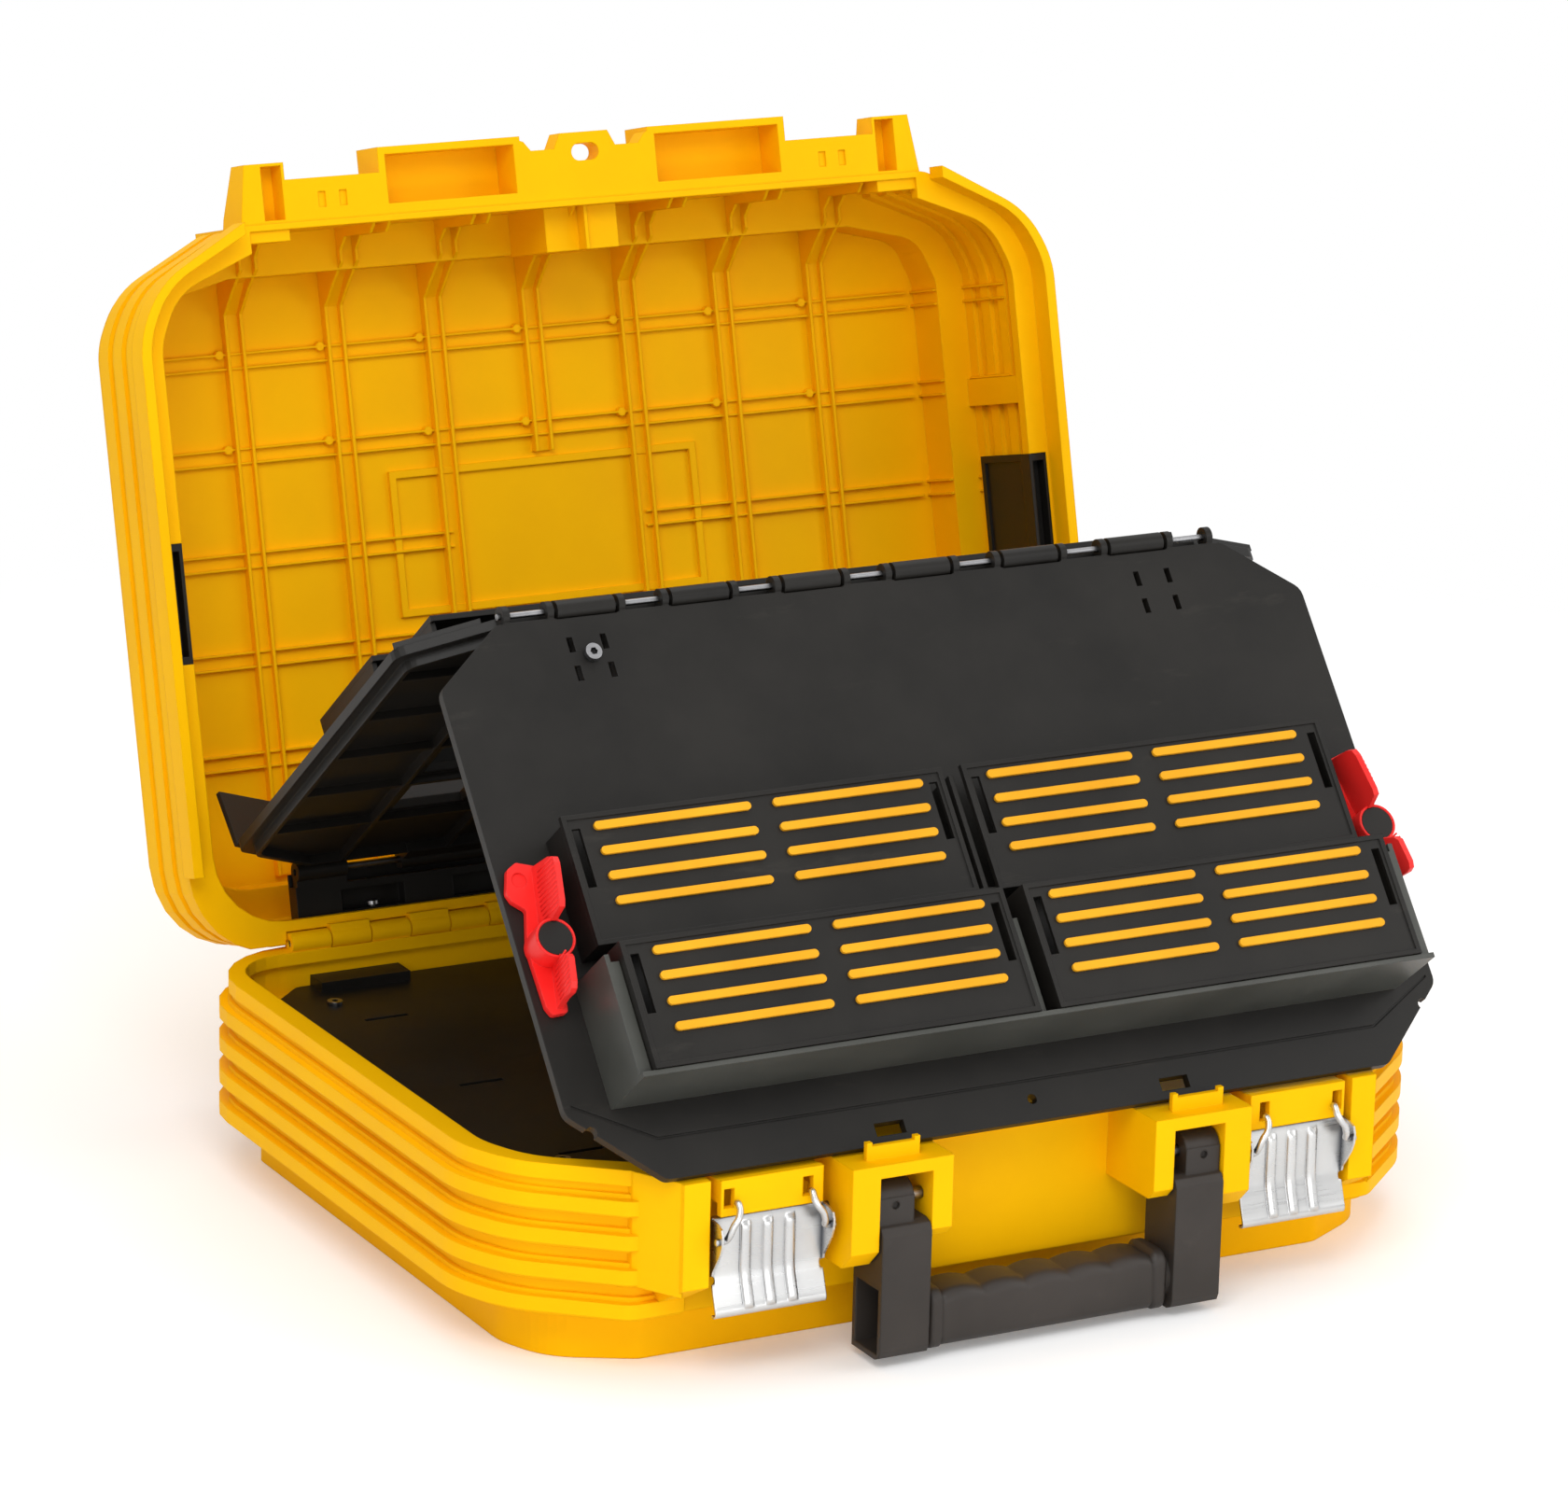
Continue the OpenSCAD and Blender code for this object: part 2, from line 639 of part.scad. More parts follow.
module panel_bracket() {
    color(black) on_lid() difference() {
        union() {
            difference() {
                block(-bracket_half - 3, bracket_half + 3, 9.7, rod_w - 8, -rod_depth - 8, -23);
                for (x = [-160:64:160]) block(x - 18, x + 18, 14, rod_w - 12, -rod_depth - 6, -22);
            }
            // web behind the rod
            block(-bracket_half - 3, bracket_half + 3, rod_w - 9, rod_w - 1.5, -rod_depth - 8,
                -rod_depth - 6.6);
            for (x = bracket_barrel_x) {
                rod(x - 14, x + 14, rod_w, -rod_depth, bracket_barrel_r);
                block(x - 14, x + 14, rod_w - 10, rod_w, -rod_depth - 4, -23);
            }
        }
        rod(-bracket_half - 5, bracket_half + 5, rod_w, -rod_depth, bracket_rod_r);
        for (x = bracket_screw_x) translate([x, 5, -25.5]) rotate([-90, 0, 0]) cylinder(r = 1.9, h = 30);
    }
}

module bracket_screws() {
    color(steel) on_lid() for (x = bracket_screw_x) translate([x, 2, -25.5]) rotate([-90, 0, 0]) {
        cylinder(r = 1.7, h = 13);
        translate([0, 0, 13]) cylinder(r = 3.4, h = 2);
    }
}

module bracket_rod() {
    color(steel) rod(-bracket_half + 6, bracket_half - 6, bracket_y, bracket_z, bracket_rod_r);
}

// ---------- panels ----------

// ring and grid of ribs under a plate, outer and inner being the ring's two outlines
module panel_ribs(z_top, outer, inner, half, length, inset, deep) {
    difference() {
        translate([0, 0.6 * inset, z_top - deep]) linear_extrude(deep + 0.5) polygon(outer);
        translate([0, 0.6 * inset + 1.4, z_top - deep - over]) linear_extrude(deep + 2 * over) polygon(inner);
    }
    for (u = [-180:60:180])
        block(u - 1.2, u + 1.2, 0.6 * inset + 1, length - 0.6 * inset - 6, z_top - deep, z_top + 0.5);
    for (v = [52:47:length - 40])
        block(inset + 1 - half, half - inset - 1, v - 1.2, v + 1.2, z_top - deep + 1, z_top + 0.5);
}

module window_lugs(v, z) {
    for (i = [-3:3]) {
        u = i * window_pitch;
        for (s = [-1, 1]) {
            x0 = u + s * (window_half + lug_t / 2) - lug_t / 2;
            rod(x0, x0 + lug_t, v, z, lug_r);
            block(x0, x0 + lug_t, v - 12, v, z - lug_r / 2, z + lug_r / 2);
        }
        block(u - window_half - 1, u + window_half + 1, v - 7.5, v - 4.6, z - 2.5, z + 2.5);
    }
}

groove = 1.2;

module border_groove() {
    side = panel_half - 4;
    low = foot_half - 1;
    translate([0, 0, -0.8]) linear_extrude(2) polygon([[-side, 41.5], [-low, 20], [low, 20], [side, 41.5],
        [side, 41.5 + groove], [low - 0.5, 20 + groove], [0.5 - low, 20 + groove], [-side, 41.5 + groove]]);
}

module front_panel() {
    color(black) on_front() difference() {
        union() {
            translate([0, 0, -plate_t]) linear_extrude(plate_t) polygon(front_outline(0));
            panel_ribs(-plate_t, front_outline(rib_inset), front_outline(rib_inset + 2.4), panel_half,
                front_length, rib_inset, rib_deep);
            window_lugs(front_length, -rod_back);
        }
        // channels that let the back panel's bars turn
        for (i = [-3:2]) {
            u = (i + 0.5) * window_pitch;
            rod(u - bar_half - 1, u + bar_half + 1, front_length, -rod_back, lug_r + 1);
        }
        rod(-top_half - 20, top_half + 20, front_length, -rod_back, ridge_rod_r + run);
        border_groove();
        for (s = [-1, 1]) {
            translate([s * (panel_half - 10.5), 28, -plate_t - over])
                cylinder(r = 3, h = plate_t + 2 * over);
            block(s * 79 - 8, s * 79 + 8, 4.5, 11, -plate_t - over, over);
            for (dx = [-9, 9], dv = [-8, 7])
                block(s * 159 + dx - 1.6, s * 159 + dx + 1.6, 264.5 + dv - 4, 264.5 + dv + 4,
                    -plate_t - over, over);
            translate([s * clamp_u, clamp_v, -plate_t - rib_deep - over])
                cylinder(r = clamp_stud_r + run, h = 20);
        }
        translate([0, 11, -plate_t - over]) cylinder(r = 2.5, h = plate_t + 2 * over);
        translate([-159, 265.5, -plate_t - over]) cylinder(r = 2, h = plate_t + 2 * over);
    }
}

module panel_screw() {
    color(steel) on_front() translate([-159, 265.5, 0]) difference() {
        union() {
            cylinder(r = 4.2, h = 4);
            translate([0, 0, -plate_t - 3]) cylinder(r = 2, h = plate_t + 4);
        }
        translate([0, 0, 1.5]) cylinder(r = 2, h = 3, $fn = 6);
    }
}

// open-topped tray: a floor wall low on the panel, end walls and a middle wall
module tray(v0, v1, z0, z1, half) {
    block(-half, half, v0, v0 + tray_t, z0, z1);
    for (u = [-half, -tray_t / 2, half - tray_t]) block(u, u + tray_t, v0, v1, z0, z1);
}

module tray_upper() {
    color(black) on_front() tray(upper_v0, upper_v1 - 4, 0, upper_proud - face_t, face_half);
}

module tray_lower() {
    floor = lower_v0 - tray_t - 0.3;
    color(grey) on_front() {
        block(-lower_half, lower_half, floor, floor + tray_t, 0, lower_proud - 1);
        for (side = [-1, 1]) on_side(side) {
            block(lower_half - tray_t, lower_half, floor, lower_v1 - 4, 0, lower_proud - face_t - 2);
            // ledge that carries the face's outer edge
            block(face_half + 0.3, lower_half, floor, lower_v1 - 8, lower_proud - face_t - 4,
                lower_proud - face_t - 2);
        }
        block(-tray_t / 2, tray_t / 2, floor, lower_v1 - 14, 0, lower_proud - face_t - 4);
    }
}

// pocket face with end slots, framed by a raised border
module face(side, v0, v1, z1) {
    color(black) on_front() on_side(side) face_plate(v0, v1, z1);
}

module face_plate(v0, v1, z1) {
    // side walls of the deeper row
    if (z1 > upper_proud) for (u = [half_gap, face_half - 2.5])
        block(u, u + 2.5, v0, v1, 0, z1 - face_t + 0.5);
    difference() {
        block(half_gap, face_half, v0, v1, z1 - face_t, z1);
        block(half_gap + 2.5, face_half - 2.5, v0 + 2.5, v1 - 2.5, z1 - 0.8, z1 + over);
        for (u = [half_gap + 4, face_half - 8.5]) block(u, u + 4.5, v1 - 37, v1 - 7, z1 - face_t - over,
            z1 + over);
    }
}

module face_upper_left() { face(-1, upper_v0, upper_v1, upper_proud); }
module face_upper_right() { face(1, upper_v0, upper_v1, upper_proud); }
module face_lower_left() { face(-1, lower_v0, lower_v1, lower_proud); }
module face_lower_right() { face(1, lower_v0, lower_v1, lower_proud); }

module stripe(u0, u1, v) {
    translate([0, v, 0]) {
        translate([u0 + stripe_h / 2, 0, 0]) cylinder(r = stripe_h / 2, h = stripe_t, $fn = 20);
        translate([u1 - stripe_h / 2, 0, 0]) cylinder(r = stripe_h / 2, h = stripe_t, $fn = 20);
        block(u0 + stripe_h / 2, u1 - stripe_h / 2, -stripe_h / 2, stripe_h / 2, 0, stripe_t);
    }
}

module stripes(side, v1, z1) {
    color(orange) on_front() on_side(side) translate([0, 0, z1 - 0.8]) for (i = [0:3]) {
        stripe(18, 100, v1 - 7 - i * stripe_pitch);
        stripe(112, face_half - 15.5, v1 - 7 - i * stripe_pitch);
    }
}

module stripes_upper_left() { stripes(-1, upper_v1, upper_proud); }
module stripes_upper_right() { stripes(1, upper_v1, upper_proud); }
module stripes_lower_left() { stripes(-1, lower_v1, lower_proud); }
module stripes_lower_right() { stripes(1, lower_v1, lower_proud); }

// thumb blade that stands up from a clamp's plate, drawn along the panel and out from it
module clamp_blade(place, lean, pts) {
    translate(place) rotate([0, lean, 9]) side_profile(-1.5, 1.5, pts);
}

// rocking clamp: a flat plate along the panel's edge, a hub round the stud and two thumb blades
module clamp(side) {
    color(red) on_front() on_side(side) translate([clamp_u, clamp_v, 0]) difference() {
        union() {
            translate([0, 0, clamp_low]) cylinder(r = clamp_hub_r, h = clamp_top - clamp_low);
            translate([0, 0, clamp_low]) linear_extrude(3.6) polygon(soft([[9.5, -4], [8.6, 5], [4.5, 20],
                [10.3, 25], [12, 29.5], [8.3, 41], [3, 44], [-6.5, 41], [-6, 28], [-9, 8], [-9, -8],
                [-2.5, -26], [-1.5, -33], [6.5, -33.5], [8.7, -29]],
                [3, 3, 2, 3, 3, 3, 2, 1.5, 3, 3, 3, 3, 1.5, 2, 3], 3));
            clamp_blade([-3.2, 25, 2], -3, [[-19, -0.5], [16, -0.5], [13.5, 20], [11.5, 25], [8, 26.5],
                [-11, 26.5], [-14, 25.5], [-16, 18], [-18, 13]]);
            clamp_blade([0, -20, 1], 4.5, [[14, 0.5], [12, 15], [7.5, 26], [5, 28.3], [-7, 28], [-10, 26.5],
                [-11, 23], [-10, 13], [-11, 0.5]]);
        }
        translate([0, 0, -over]) cylinder(r = clamp_stud_r + run, h = clamp_top - 3 + over);
        translate([0, 0, cap_low]) cylinder(r = cap_r + run, h = 2);
        // round dimple in the broad end of the plate
        translate([3.6, 35, 3]) cylinder(r = 3.8, h = 3);
    }
}

module clamp_left() { clamp(-1); }
module clamp_right() { clamp(1); }

module clamp_cap(side) {
    color(black) on_front() on_side(side) translate([clamp_u, clamp_v, cap_low]) cylinder(r = cap_r, h = 1.2);
}

module clamp_cap_left() { clamp_cap(-1); }
module clamp_cap_right() { clamp_cap(1); }

module clamp_stud(side) {
    color(black) on_front() on_side(side) translate([clamp_u, clamp_v, -plate_t - 2]) {
        cylinder(r = clamp_stud_r, h = clamp_top - 3.4 + plate_t + 2);
        cylinder(r = 7, h = 2);
    }
}

module clamp_stud_left() { clamp_stud(-1); }
module clamp_stud_right() { clamp_stud(1); }

flange_high = 32;

module back_panel() {
    color(black) on_back() difference() {
        union() {
            // the same plate, turned over: its foot edge is the lower one
            translate([0, back_length, -plate_t / 2]) mirror([0, 1, 0]) {
                linear_extrude(plate_t) polygon(back_outline(0));
                panel_ribs(0, back_outline(back_inset), back_outline(back_inset + 2.4), back_half,
                    back_length, back_inset, back_rib_deep);
            }
            // raised lip along the upper corners
            pair() translate([0, 0, plate_t / 2 - 0.5]) linear_extrude(3.5) polygon([[back_half - 0.5, 31],
                [back_half - 40, 12], [back_half - 40, 15], [back_half - 3, 34]]);
            for (i = [-3:2]) {
                u = (i + 0.5) * window_pitch;
                rod(u - bar_half, u + bar_half, 0, 0, lug_r);
                block(u - bar_half, u + bar_half, 0, 9, -plate_t / 2, plate_t / 2);
            }
            // bent flange along the lower edge
            translate([0, back_length - 2, 0]) rotate([-9, 0, 0]) linear_extrude(flange_high) polygon([
                [2 - back_half, -19], [39 - back_half, -0.8], [back_half - 39, -0.8], [back_half - 2, -19],
                [back_half - 1, -16.5], [back_half - 38, 2], [38 - back_half, 2], [1 - back_half, -16.5]]);
            for (x = [-113, 0, 113]) {
                rod(x - 30, x + 30, bracket_v, -bracket_down, bracket_barrel_r);
                block(x - 30, x + 30, back_length - 6, bracket_v, -bracket_down - 2, -bracket_down + 4.5);
            }
        }
        for (i = [-3:3]) {
            u = i * window_pitch;
            block(u - window_half - lug_t - 1, u + window_half + lug_t + 1, -over, lug_r + 1.6, -8, 8);
        }
        // windows between the ribs
        for (i = [-3:2], v = [57, 104, 151])
            block(i * 60 + 10, i * 60 + 50, back_length - v - 36, back_length - v, -plate_t, plate_t);
        rod(-top_half - 20, top_half + 20, 0, 0, ridge_rod_r + run);
        rod(-bracket_half, bracket_half, bracket_v, -bracket_down, bracket_rod_r + run);
        for (x = bracket_barrel_x)
            rod(x - 15, x + 15, bracket_v, -bracket_down, bracket_barrel_r + 1.5);
    }
}

back_upper_v0 = 50;
back_upper_v1 = 112;
back_lower_v0 = 125;
back_lower_v1 = 201;
back_proud = lower_proud - 8;

module back_tray(v0, v1, z1) {
    color(black) on_back() translate([0, v0 + v1, plate_t / 2]) mirror([0, 1, 0])
        tray(v0, v1, 0, z1, face_half);
}

module back_tray_upper() { back_tray(back_upper_v0, back_upper_v1, upper_proud - face_t); }
module back_tray_lower() { back_tray(back_lower_v0, back_lower_v1, back_proud - face_t); }

module back_faces() {
    color(black) on_back() {
        block(-face_half, face_half, back_upper_v0 - 2, back_upper_v1, upper_proud - face_t + plate_t / 2,
            upper_proud + plate_t / 2);
        block(-face_half, face_half, back_lower_v0 - 2, back_lower_v1, back_proud - face_t + plate_t / 2,
            back_proud + plate_t / 2);
    }
}

module ridge_rod() {
    color(steel) rod(-top_half + 3, top_half - 3, ridge_y, ridge_z, ridge_rod_r);
}

// ---------- latches ----------

// side outline of the latch sheet: flat, flared and curled at the lower lip
function sheet_side(t, top) = [[latch_front - t, top], [latch_front - t, latch_bend],
    [latch_lip_y - t, latch_lip_z + 3],
    [latch_lip_y - t - 0.6, latch_lip_z + 0.6], [latch_lip_y - t + 0.4, latch_lip_z - 1.2],
    [latch_lip_y + 2.6, latch_lip_z - 1.6], [latch_lip_y + 4.2, latch_lip_z + 0.4],
    [latch_lip_y + 3.2, latch_lip_z + 2], [latch_lip_y + latch_sheet, latch_lip_z + 3.4],
    [latch_front + latch_sheet, latch_bend - 0.6], [latch_front + latch_sheet, top]];

module latch_plate(side) {
    ears = [[latch_front, 84], [eye_y - 3, 80], [eye_y - 3, 69], [latch_front - 2, 55], [latch_front, 53],
        [latch_front + 2, 60], [latch_front + 2, 84]];
    color(zinc) on_side(side) difference() {
        union() {
            side_profile(latch_in, latch_out, sheet_side(0, 83.6));
            // three pressed beads
            for (x = [134, 145.8, 157.6]) side_profile(x - 1.6, x + 1.6, sheet_side(1.1, 77));
            block(latch_in + 4, latch_out - 4, latch_front + 0.4, latch_rod_y, latch_rod_z + 1,
                latch_rod_z + 2.6);
            rod(latch_in + 4, latch_out - 4, latch_rod_y, latch_rod_z, latch_barrel_r);
            side_profile(latch_in, latch_in + latch_sheet, ears);
            side_profile(latch_out - latch_sheet, latch_out, ears);
        }
        rod(latch_in, latch_out, latch_rod_y, latch_rod_z, latch_rod_r + run);
        rod(latch_in - over, latch_out + over, eye_y, eye_z, hook_wire_r + run);
    }
}

module latch_plate_left() { latch_plate(-1); }
module latch_plate_right() { latch_plate(1); }

// one hook: a stub through the ear's eye and a bent arm up to the keeper's slot
module hook(x_eye, inward) {
    r = hook_wire_r;
    x_arm = x_eye + 9 * inward;
    rod(min(x_eye - 2.6 * inward, x_arm + r * inward), max(x_eye - 2.6 * inward, x_arm + r * inward),
        eye_y, eye_z, r);
    side_profile(x_arm - r, x_arm + r, [[eye_y - r, eye_z], [eye_y - 3, eye_z + 6],
        [eye_y - 2.6, eye_z + 12],
        [eye_y - 0.2, eye_z + 18], [eye_y + 2.8, eye_z + 18.6], [eye_y + 3.2, eye_z + 16],
        [eye_y + 1.6, eye_z + 15.4], [eye_y + 0.2, eye_z + 11], [eye_y - 0.2, eye_z + 6],
            [eye_y + r, eye_z]]);
}

module hooks(side) {
    color(zinc) on_side(side) {
        hook(latch_in + latch_sheet / 2, 1);
        hook(latch_out - latch_sheet / 2, -1);
    }
}

module hooks_left() { hooks(-1); }
module hooks_right() { hooks(1); }

module latch_rod(side) {
    color(steel) on_side(side) rod(housing_out - 6, side_housing_in + 6, latch_rod_y, latch_rod_z,
        latch_rod_r);
}

module latch_rod_left() { latch_rod(-1); }
module latch_rod_right() { latch_rod(1); }

// ---------- handle ----------

module arm() {
    x0 = arm_mid - arm_width / 2;
    x1 = arm_mid + arm_width / 2;
    difference() {
        union() {
            side_profile(x0, x1, [[arm_front, arm_low + 5], [arm_front + 1.5, arm_low + 1.5],
                [arm_front + 5, arm_low], [arm_back, arm_low], [arm_back, arm_top],
                    [arm_front + 6, arm_top],
                [arm_front + 2.2, arm_top - 1.4], [arm_front, arm_top - 5]]);
            // narrower knuckle on the outer side
            rod(x1 - 19, x1, pivot_y, pivot_z, knuckle_arm_r);
            block(x1 - 19, x1, pivot_y - knuckle_arm_r, pivot_y + knuckle_arm_r, arm_top - 4, pivot_z);
            block(x1 - 19, x1, pivot_y - knuckle_arm_r, pivot_y, pivot_z - 1, pivot_z + 3);
            // short neck that runs into the grip
            translate([x0 + 1, grip_y, grip_z]) rotate([0, -90, 0]) cylinder(r = 12.5, h = 3);
        }
        // hollow of the arm, open on its outer side low down
        block(x0 + arm_wall, x1 - arm_wall, arm_front + arm_wall, arm_back - arm_wall, arm_low + arm_wall,
            arm_top - 8);
        block(x1 - arm_wall - over, x1 + over, arm_front + arm_wall, arm_back - arm_wall,
            arm_low + arm_wall, 40);
        rod(x0 - over, x1 + over, pivot_y, pivot_z, handle_rod_r + run);
        // screw recess in the knuckle's front
        translate([x1 - 9, pivot_y - knuckle_arm_r - over, pivot_z - 1]) rotate([-90, 0, 0])
            cylinder(r = 2, h = 3);
    }
}

grip_y = -221.5;
grip_z = 19.8;
grip_deep = 13.6;
core_r = 9;

module handle_arms() {
    color(brown) {
        pair() arm();
        rod(-arm_mid + arm_width / 2 - 1, arm_mid - arm_width / 2 + 1, grip_y, grip_z, core_r);
    }
}

// upright section of the grip, rounded at its corners
module grip_section(x0, x1, less) {
    hy = grip_deep - less;
    hz = grip_r - less;
    c = 6;
    translate([x0, grip_y, grip_z]) rotate([90, 0, 90]) linear_extrude(x1 - x0) union() {
        square([2 * hy - 2 * c, 2 * hz], center = true);
        square([2 * hy, 2 * hz - 2 * c], center = true);
        for (a = [-1, 1], b = [-1, 1]) translate([a * (hy - c), b * (hz - c)]) circle(r = c);
    }
}

module handle_grip() {
    reach = arm_mid - arm_width / 2 - 2.2;
    color(brown) difference() {
        union() {
            grip_section(-reach, reach, 1.2);
            // finger waves
            for (x = [-44:22:44]) grip_section(x - 7.5, x + 7.5, 0);
            for (s = [-1, 1]) grip_section(s * (reach - 3) - 3, s * (reach - 3) + 3, 0);
        }
        rod(-reach - over, reach + over, grip_y, grip_z, core_r);
    }
}

module handle_rods() {
    color(steel) pair() rod(housing_in + 4, housing_out - 4, pivot_y, pivot_z, handle_rod_r);
}

base_shell();
base_cover();
cover_screws();
hinge_rod();
handle_rods();
latch_rod_left();
latch_rod_right();
lid_shell();
lid_clip_left();
lid_clip_right();
panel_bracket();
bracket_screws();
bracket_rod();
back_panel();
back_tray_upper();
back_tray_lower();
back_faces();
ridge_rod();
front_panel();
panel_screw();
tray_upper();
tray_lower();
face_upper_left();
face_upper_right();
face_lower_left();
face_lower_right();
stripes_upper_left();
stripes_upper_right();
stripes_lower_left();
stripes_lower_right();
clamp_left();
clamp_right();
clamp_cap_left();
clamp_cap_right();
clamp_stud_left();
clamp_stud_right();
latch_plate_left();
latch_plate_right();
hooks_left();
hooks_right();
handle_arms();
handle_grip();
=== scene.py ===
# Hard tool case, open, with its tool panels stood up as a tent.
import json
import math

import bpy
from mathutils import Matrix, Vector


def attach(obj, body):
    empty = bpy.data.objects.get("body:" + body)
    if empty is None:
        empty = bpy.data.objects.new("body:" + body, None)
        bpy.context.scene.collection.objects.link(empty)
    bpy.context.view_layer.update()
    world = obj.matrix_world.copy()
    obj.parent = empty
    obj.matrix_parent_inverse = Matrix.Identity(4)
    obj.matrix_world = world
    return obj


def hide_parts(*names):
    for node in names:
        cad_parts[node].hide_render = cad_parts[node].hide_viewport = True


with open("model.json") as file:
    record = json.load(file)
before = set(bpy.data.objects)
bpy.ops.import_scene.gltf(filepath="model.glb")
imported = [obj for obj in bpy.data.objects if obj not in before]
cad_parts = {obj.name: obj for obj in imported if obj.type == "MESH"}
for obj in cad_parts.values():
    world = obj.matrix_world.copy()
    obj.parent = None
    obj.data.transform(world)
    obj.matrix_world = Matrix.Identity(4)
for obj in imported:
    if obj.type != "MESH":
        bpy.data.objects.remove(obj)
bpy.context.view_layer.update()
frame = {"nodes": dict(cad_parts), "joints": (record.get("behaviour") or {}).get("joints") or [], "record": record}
print("frame loaded")

camera = {
    "azimuth": -28.82,          # degrees, 0 looks along +Y
    "elevation": 16.17,
    "roll": 1.46,
    "distance": 3.26213,        # metres from the target
    "target": (-0.02411, 0.0, 0.23575),
    "lens": 150.035,            # mm
    "sensor": 36,
    "clip": (0.05, 50),
}


def addCamera(spec):
    a, e, r = (math.radians(spec[k]) for k in ("azimuth", "elevation", "roll"))
    back = Vector((math.sin(a) * math.cos(e), -math.cos(a) * math.cos(e), math.sin(e)))
    right = Vector((math.cos(a), math.sin(a), 0))
    up = back.cross(right)
    rolledRight = right * math.cos(r) + up * math.sin(r)
    rolledUp = up * math.cos(r) - right * math.sin(r)
    data = bpy.data.cameras.new("camera")
    data.sensor_width = spec["sensor"]
    data.lens = spec["lens"]
    data.clip_start, data.clip_end = spec["clip"]
    cam = bpy.data.objects.new("camera", data)
    bpy.context.scene.collection.objects.link(cam)
    place = Matrix((rolledRight, rolledUp, back)).transposed().to_4x4()
    place.translation = Vector(spec["target"]) + back * spec["distance"]
    cam.matrix_world = place
    bpy.context.scene.camera = cam


addCamera(camera)
bpy.context.scene.view_settings.view_transform = "Standard"
print("camera set")


class Nodes:
    # a short way to write shader nodes
    def __init__(self, material):
        material.use_nodes = True
        self.tree = material.node_tree
        self.tree.nodes.clear()

    def add(self, kind, inputs=None, **settings):
        node = self.tree.nodes.new(kind)
        for key, value in settings.items():
            setattr(node, key, value)
        for key, value in (inputs or {}).items():
            if isinstance(value, bpy.types.NodeSocket):
                self.tree.links.new(value, node.inputs[key])
            else:
                node.inputs[key].default_value = value
        return node

    def noise(self, where, scale, detail=4, rough=0.55):
        return self.add("ShaderNodeTexNoise", {"Vector": where, "Scale": scale, "Detail": detail, "Roughness": rough})

    def span(self, value, lo, hi, outLo=0.0, outHi=1.0):
        node = self.add("ShaderNodeMapRange", {"Value": value, "From Min": lo, "From Max": hi,
                                               "To Min": outLo, "To Max": outHi})
        return node.outputs["Result"]

    def mix(self, amount, a, b):
        node = self.add("ShaderNodeMix", {"Factor": amount}, data_type="RGBA")
        for slot, value in ((6, a), (7, b)):
            if isinstance(value, bpy.types.NodeSocket):
                self.tree.links.new(value, node.inputs[slot])
            else:
                node.inputs[slot].default_value = value
        return node.outputs[2]

    def math(self, how, a, b):
        return self.add("ShaderNodeMath", {0: a, 1: b}, operation=how).outputs[0]


def plastic(name, look):
    # moulded plastic: fine grain, uneven sheen, faint dust and rounded edges
    mat = bpy.data.materials.new(name)
    n = Nodes(mat)
    where = n.add("ShaderNodeTexCoord").outputs["Object"]
    grain = n.noise(where, look["grainScale"], 3)
    cloud = n.noise(where, look["cloudScale"], 5, 0.6)
    stretch = n.add("ShaderNodeMapping", {"Vector": where, "Scale": look["scuffStretch"]}).outputs[0]
    scuff = n.noise(stretch, look["scuffScale"], 6, 0.7)
    scuffed = n.span(scuff.outputs["Fac"], look["scuffFrom"], look["scuffFrom"] + 0.16)
    tone = n.mix(n.span(cloud.outputs["Fac"], 0.35, 0.65), look["dark"], look["light"])
    tone = n.mix(n.math("MULTIPLY", scuffed, look["scuffAmount"]), tone, look["dust"])
    sheen = n.span(cloud.outputs["Fac"], 0.3, 0.7, look["rough"] - 0.05, look["rough"] + 0.05)
    sheen = n.math("ADD", sheen, n.math("MULTIPLY", scuffed, 0.12))
    soft = n.add("ShaderNodeBevel", {"Radius": look["edge"]}, samples=4).outputs[0]
    bump = n.add("ShaderNodeBump", {"Strength": look["grain"], "Distance": 0.0003, "Normal": soft,
                                    "Height": grain.outputs["Fac"]}).outputs[0]
    shader = n.add("ShaderNodeBsdfPrincipled", {"Base Color": tone, "Roughness": sheen, "Normal": bump,
                                                "IOR": 1.49, "Specular IOR Level": look["shine"]})
    n.add("ShaderNodeOutputMaterial", {"Surface": shader.outputs[0]})
    return mat


def metal(name, look):
    # drawn or plated metal with fine lines, and painted shade darkening its creases
    mat = bpy.data.materials.new(name)
    n = Nodes(mat)
    where = n.add("ShaderNodeTexCoord").outputs["Object"]
    stretch = n.add("ShaderNodeMapping", {"Vector": where, "Scale": look["lines"]}).outputs[0]
    line = n.noise(stretch, look["lineScale"], 2)
    cloud = n.noise(where, look["cloudScale"], 4, 0.55)
    tone = n.mix(n.span(cloud.outputs["Fac"], 0.3, 0.7), look["dark"], look["light"])
    # painted shade: ambient occlusion darkens creases and hollows towards the painted crease shade colour
    clear = n.add("ShaderNodeAmbientOcclusion", {"Distance": look["paintedShadeReach"]}, samples=8).outputs["AO"]
    tone = n.mix(n.span(clear, 0.45, 0.95), look["paintedCreaseShade"], tone)
    rough = n.span(line.outputs["Fac"], 0.3, 0.7, look["rough"] - 0.05, look["rough"] + 0.08)
    soft = n.add("ShaderNodeBevel", {"Radius": look["edge"]}, samples=4).outputs[0]
    bump = n.add("ShaderNodeBump", {"Strength": look["grain"], "Distance": 0.0002, "Normal": soft,
                                    "Height": line.outputs["Fac"]}).outputs[0]
    shader = n.add("ShaderNodeBsdfPrincipled", {"Base Color": tone, "Metallic": 1.0, "Roughness": rough,
                                                "Normal": bump})
    n.add("ShaderNodeOutputMaterial", {"Surface": shader.outputs[0]})
    return mat


